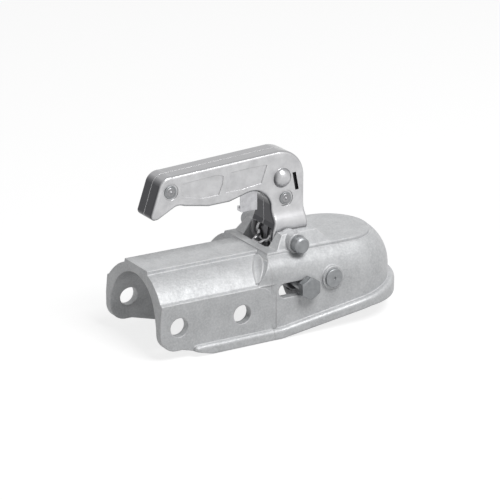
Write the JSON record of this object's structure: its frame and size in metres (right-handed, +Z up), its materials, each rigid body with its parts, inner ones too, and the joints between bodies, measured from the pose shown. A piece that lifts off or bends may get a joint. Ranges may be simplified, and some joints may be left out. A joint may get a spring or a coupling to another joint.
{
  "type": "trailer coupling head",
  "caption": "Cast coupling head for a 50 mm ball on a round drawbar, with a folding sheet-metal handle that draws back a clamp bolt and frees the jaw.",
  "frame": {"origin": "centre of the coupling ball in its closed seat", "axes": "+X forward along the drawbar to the nose, +Y to the vehicle's left along the cross bolts, +Z up"},
  "size_m": [0.1878, 0.089, 0.1138],
  "materials": {
    "zinc_casting": "matt hot-dip zinc grey with a fine cast grain",
    "bright_zinc": "bright zinc-plated sheet",
    "catch_steel": "zinc-plated sheet",
    "bolt_steel": "zinc-plated bolt and nut",
    "pin_steel": "zinc-plated pins and rivets",
    "inner_steel": "plain steel of the mechanism",
    "jaw_casting": "matt grey casting",
    "spring_steel": "spring wire",
    "indicator_black": "matt black"
  },
  "bodies": {
    "housing": {"coupling_housing": "zinc_casting", "drawbar_tail": "zinc_casting", "handle_pivot_pin": "pin_steel", "jaw_pin_left": "pin_steel", "jaw_pin_right": "pin_steel", "return_spring": "spring_steel"},
    "handle": {"handle_shell_right": "bright_zinc", "handle_shell_left": "bright_zinc", "cam_lever": "inner_steel", "nose_rivet": "pin_steel", "neck_rivet": "pin_steel", "pivot_bush_left": "inner_steel", "pivot_bush_right": "inner_steel", "indicator_plate": "indicator_black", "catch_pin": "pin_steel", "catch_spring": "spring_steel"},
    "catch": {"safety_catch": "catch_steel"},
    "clamp": {"clamp_bolt": "bolt_steel", "clamp_nut": "bolt_steel", "clamp_washer": "bolt_steel", "clamp_roller_left": "inner_steel", "clamp_roller_right": "inner_steel"},
    "jaw": {"ball_jaw": "jaw_casting"}
  },
  "joints": [
    {"name": "handle_hinge", "type": "hinge", "parent": "housing", "child": "handle", "pos_m": [-0.0395, 0, 0.0365], "axis": [0, 1, 0], "range_deg": [0, 32], "stiffness_Nm_per_rad": 0.15, "springref_deg": -17.19, "deforming": ["return_spring"]},
    {"name": "catch_hinge", "type": "hinge", "parent": "handle", "child": "catch", "pos_m": [-0.0398, 0, 0.0751], "axis": [0, 1, 0], "range_deg": [0, 4.5], "stiffness_Nm_per_rad": 0.1, "springref_deg": -11.46, "deforming": ["catch_spring"]},
    {"name": "clamp_slide", "type": "slide", "parent": "housing", "child": "clamp", "axis": [1, 0, 0], "range_m": [-0.0156, 0]},
    {"name": "jaw_hinge", "type": "hinge", "parent": "housing", "child": "jaw", "pos_m": [-0.0187, 0, 0.013], "axis": [0, 1, 0], "range_deg": [0, 20]}
  ],
  "couplings": [
    {"joint": "clamp_slide", "follows": "handle_hinge", "m_per_rad": -0.02785},
    {"joint": "jaw_hinge", "follows": "handle_hinge", "ratio": 0.62}
  ]
}
